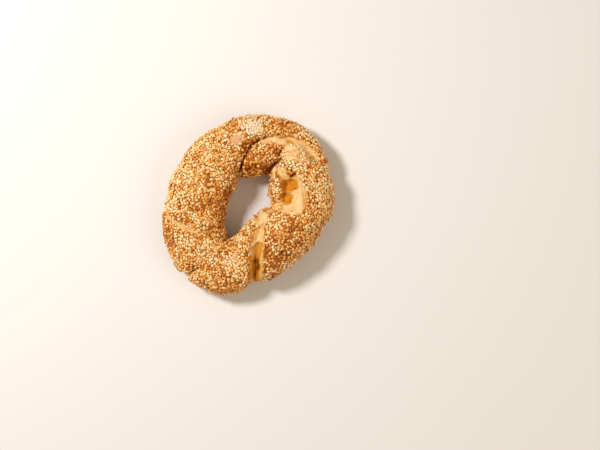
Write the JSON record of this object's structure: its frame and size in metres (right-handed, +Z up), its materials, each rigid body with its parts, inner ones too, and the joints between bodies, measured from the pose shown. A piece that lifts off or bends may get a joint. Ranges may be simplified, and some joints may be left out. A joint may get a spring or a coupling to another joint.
{
  "type": "simit",
  "caption": "Ring-shaped sesame bread of two ropes of dough twisted together, with a deep seam, a torn bare strip and a torn hollow beside its hole.",
  "frame": {"origin": "middle of the outline from above, on the flat underside that the bread was baked on", "axes": "+Z up out of the tray, +Y along the ring's longer way across, +X along the shorter"},
  "size_m": [0.1448, 0.1508, 0.0392],
  "materials": {
    "crust": "matte",
    "sesame": "satin"
  },
  "bodies": {
    "root": {"simit": "crust"}
  },
  "joints": []
}
